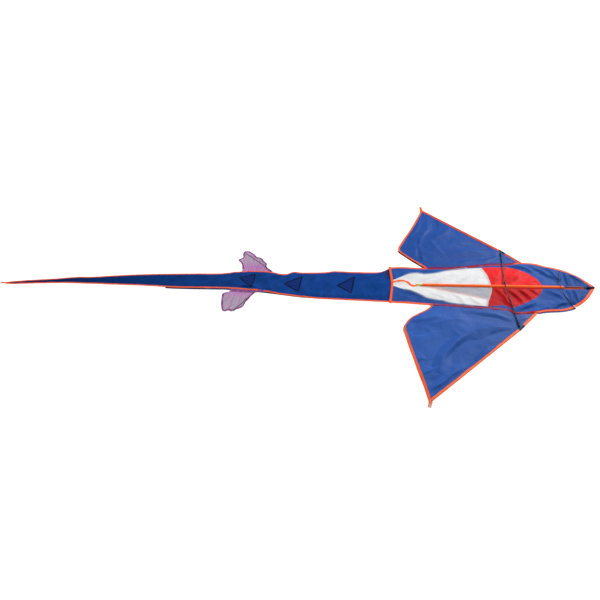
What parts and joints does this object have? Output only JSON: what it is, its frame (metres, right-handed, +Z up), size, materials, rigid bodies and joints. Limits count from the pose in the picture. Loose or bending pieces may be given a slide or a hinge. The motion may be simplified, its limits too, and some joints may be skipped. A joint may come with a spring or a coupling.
{
  "type": "framed single-line kite",
  "caption": "Framed single-skin creature kite with a broad body, swept wings, a hanging keel with a tow eyelet, side fins and a long tapering cloth tail.",
  "frame": {"origin": "centre of the bounding box in plan, on the ground that the kite lies on", "axes": "+X to the nose, +Y to the kite's left, +Z up through the back of the kite, which lies keel down"},
  "size_m": [3.764, 1.58, 0.0215],
  "materials": {
    "ripstop_blue": "light coated ripstop nylon, slightly shiny and see-through",
    "ripstop_red": "light coated ripstop nylon",
    "ripstop_white": "light coated ripstop nylon, see-through",
    "binding_orange": "folded woven nylon binding tape with a stitched edge",
    "chiffon_mauve": "thin see-through chiffon",
    "patch_violet": "dark applique cloth",
    "webbing_pale": "pale woven tape",
    "webbing_dark": "dark woven reinforcement",
    "cord_blue": "cloth tie",
    "rod_black": "glossy fibre-reinforced rod",
    "vinyl_black": "soft moulded vinyl",
    "plastic_white": "moulded plastic",
    "plastic_lime": "moulded plastic",
    "eyelet_brass": "pressed eyelet, satin"
  },
  "bodies": {
    "fuselage": {"spine_rod": "rod_black", "spine_sleeve": "binding_orange", "nose_tape": "binding_orange", "nose_pocket": "webbing_dark", "nose_cap": "vinyl_black", "tension_tape": "binding_orange", "rear_cross_tape": "binding_orange", "head_bow": "rod_black", "spreader_joiner": "vinyl_black", "spreader_tie": "cord_blue", "head_panel_left": "ripstop_blue", "red_panel_left": "ripstop_red", "white_panel_left": "ripstop_white", "side_panel_left": "ripstop_blue", "body_edge_tape_left": "binding_orange", "bow_fitting_left": "plastic_white", "head_panel_right": "ripstop_blue", "red_panel_right": "ripstop_red", "white_panel_right": "ripstop_white", "side_panel_right": "ripstop_blue", "body_edge_tape_right": "binding_orange", "bow_fitting_right": "plastic_white"},
    "end_cap": {"spine_end_cap": "plastic_lime"},
    "keel": {"keel_sail": "ripstop_blue", "keel_rear_tape": "binding_orange", "keel_front_tape": "binding_orange", "keel_apex_patch": "webbing_dark", "tow_eyelet": "eyelet_brass"},
    "left_wing": {"wing_sail_left": "ripstop_blue", "wing_root_tape_left": "binding_orange", "wing_tip_tape_left": "binding_orange", "leading_edge_rod_left": "rod_black", "leading_edge_sleeve_left": "binding_orange", "leading_edge_connector_left": "vinyl_black", "tip_tab_left": "binding_orange"},
    "left_spreader": {"spreader_rod_left": "rod_black", "spreader_boot_left": "vinyl_black"},
    "right_wing": {"wing_sail_right": "ripstop_blue", "wing_root_tape_right": "binding_orange", "wing_tip_tape_right": "binding_orange", "leading_edge_rod_right": "rod_black", "leading_edge_sleeve_right": "binding_orange", "leading_edge_connector_right": "vinyl_black", "tip_tab_right": "webbing_pale"},
    "right_spreader": {"spreader_rod_right": "rod_black", "spreader_boot_right": "vinyl_black"},
    "tail_1": {"tail_sail_1": "ripstop_blue", "tail_edge_tape_1": "binding_orange", "tail_patches_front": "patch_violet"},
    "tail_2": {"tail_sail_2": "ripstop_blue", "tail_edge_tape_2": "binding_orange", "tail_patches_rear": "patch_violet"},
    "tail_3": {"tail_sail_3": "ripstop_blue", "tail_edge_tape_3": "binding_orange"},
    "tail_4": {"tail_sail_4": "ripstop_blue", "tail_edge_tape_4": "binding_orange"},
    "left_tail_fin": {"tail_fin_left": "chiffon_mauve", "fin_rod_left": "rod_black"},
    "right_tail_fin": {"tail_fin_right": "chiffon_mauve", "fin_rod_right": "rod_black"}
  },
  "joints": [
    {"name": "left_wing_flap", "type": "hinge", "parent": "fuselage", "child": "left_wing", "pos_m": [1.555, 0.1975, 0.00375], "axis": [0.9973, 0.0731, 0], "range_deg": [0, 20]},
    {"name": "right_wing_flap", "type": "hinge", "parent": "fuselage", "child": "right_wing", "pos_m": [1.555, -0.1975, 0.00375], "axis": [-0.9973, 0.0731, 0], "range_deg": [0, 20]},
    {"name": "left_spreader_swing", "type": "hinge", "parent": "fuselage", "child": "left_spreader", "pos_m": [1.43, 0.02, 0.0165], "axis": [1, 0, 0], "range_deg": [0, 9]},
    {"name": "right_spreader_swing", "type": "hinge", "parent": "fuselage", "child": "right_spreader", "pos_m": [1.43, 0.02, 0.0165], "axis": [-1, 0, 0], "range_deg": [0, 8]},
    {"name": "keel_swing", "type": "hinge", "parent": "fuselage", "child": "keel", "pos_m": [1.293, 0, 0.00115], "axis": [1, 0, 0], "range_deg": [0, 180]},
    {"name": "end_cap_pull", "type": "slide", "parent": "fuselage", "child": "end_cap", "axis": [-1, 0, 0], "range_m": [0, 0.012]},
    {"name": "tail_flex_1", "type": "hinge", "parent": "fuselage", "child": "tail_1", "pos_m": [0.81, -0.004, 0.00075], "axis": [0, 1, 0], "range_deg": [-60, 60]},
    {"name": "tail_flex_2", "type": "hinge", "parent": "tail_1", "child": "tail_2", "pos_m": [0.128, 0.012, 0.00075], "axis": [0, 1, 0], "range_deg": [-60, 60]},
    {"name": "tail_flex_3", "type": "hinge", "parent": "tail_2", "child": "tail_3", "pos_m": [-0.532, 0.015, 0.00075], "axis": [0, 1, 0], "range_deg": [-60, 60]},
    {"name": "tail_flex_4", "type": "hinge", "parent": "tail_3", "child": "tail_4", "pos_m": [-1.207, -0.003, 0.00075], "axis": [0, 1, 0], "range_deg": [-60, 60]},
    {"name": "left_fin_flap", "type": "hinge", "parent": "tail_2", "child": "left_tail_fin", "pos_m": [0.068, 0.10375, 0.00075], "axis": [0.9991, 0.0417, 0], "range_deg": [-90, 90]},
    {"name": "right_fin_flap", "type": "hinge", "parent": "tail_2", "child": "right_tail_fin", "pos_m": [0.068, -0.0792, 0.00075], "axis": [-0.9987, 0.0508, 0], "range_deg": [-90, 90]}
  ],
  "couplings": [
    {"joint": "left_spreader_swing", "follows": "left_wing_flap", "ratio": 0.42},
    {"joint": "right_spreader_swing", "follows": "right_wing_flap", "ratio": 0.37}
  ]
}
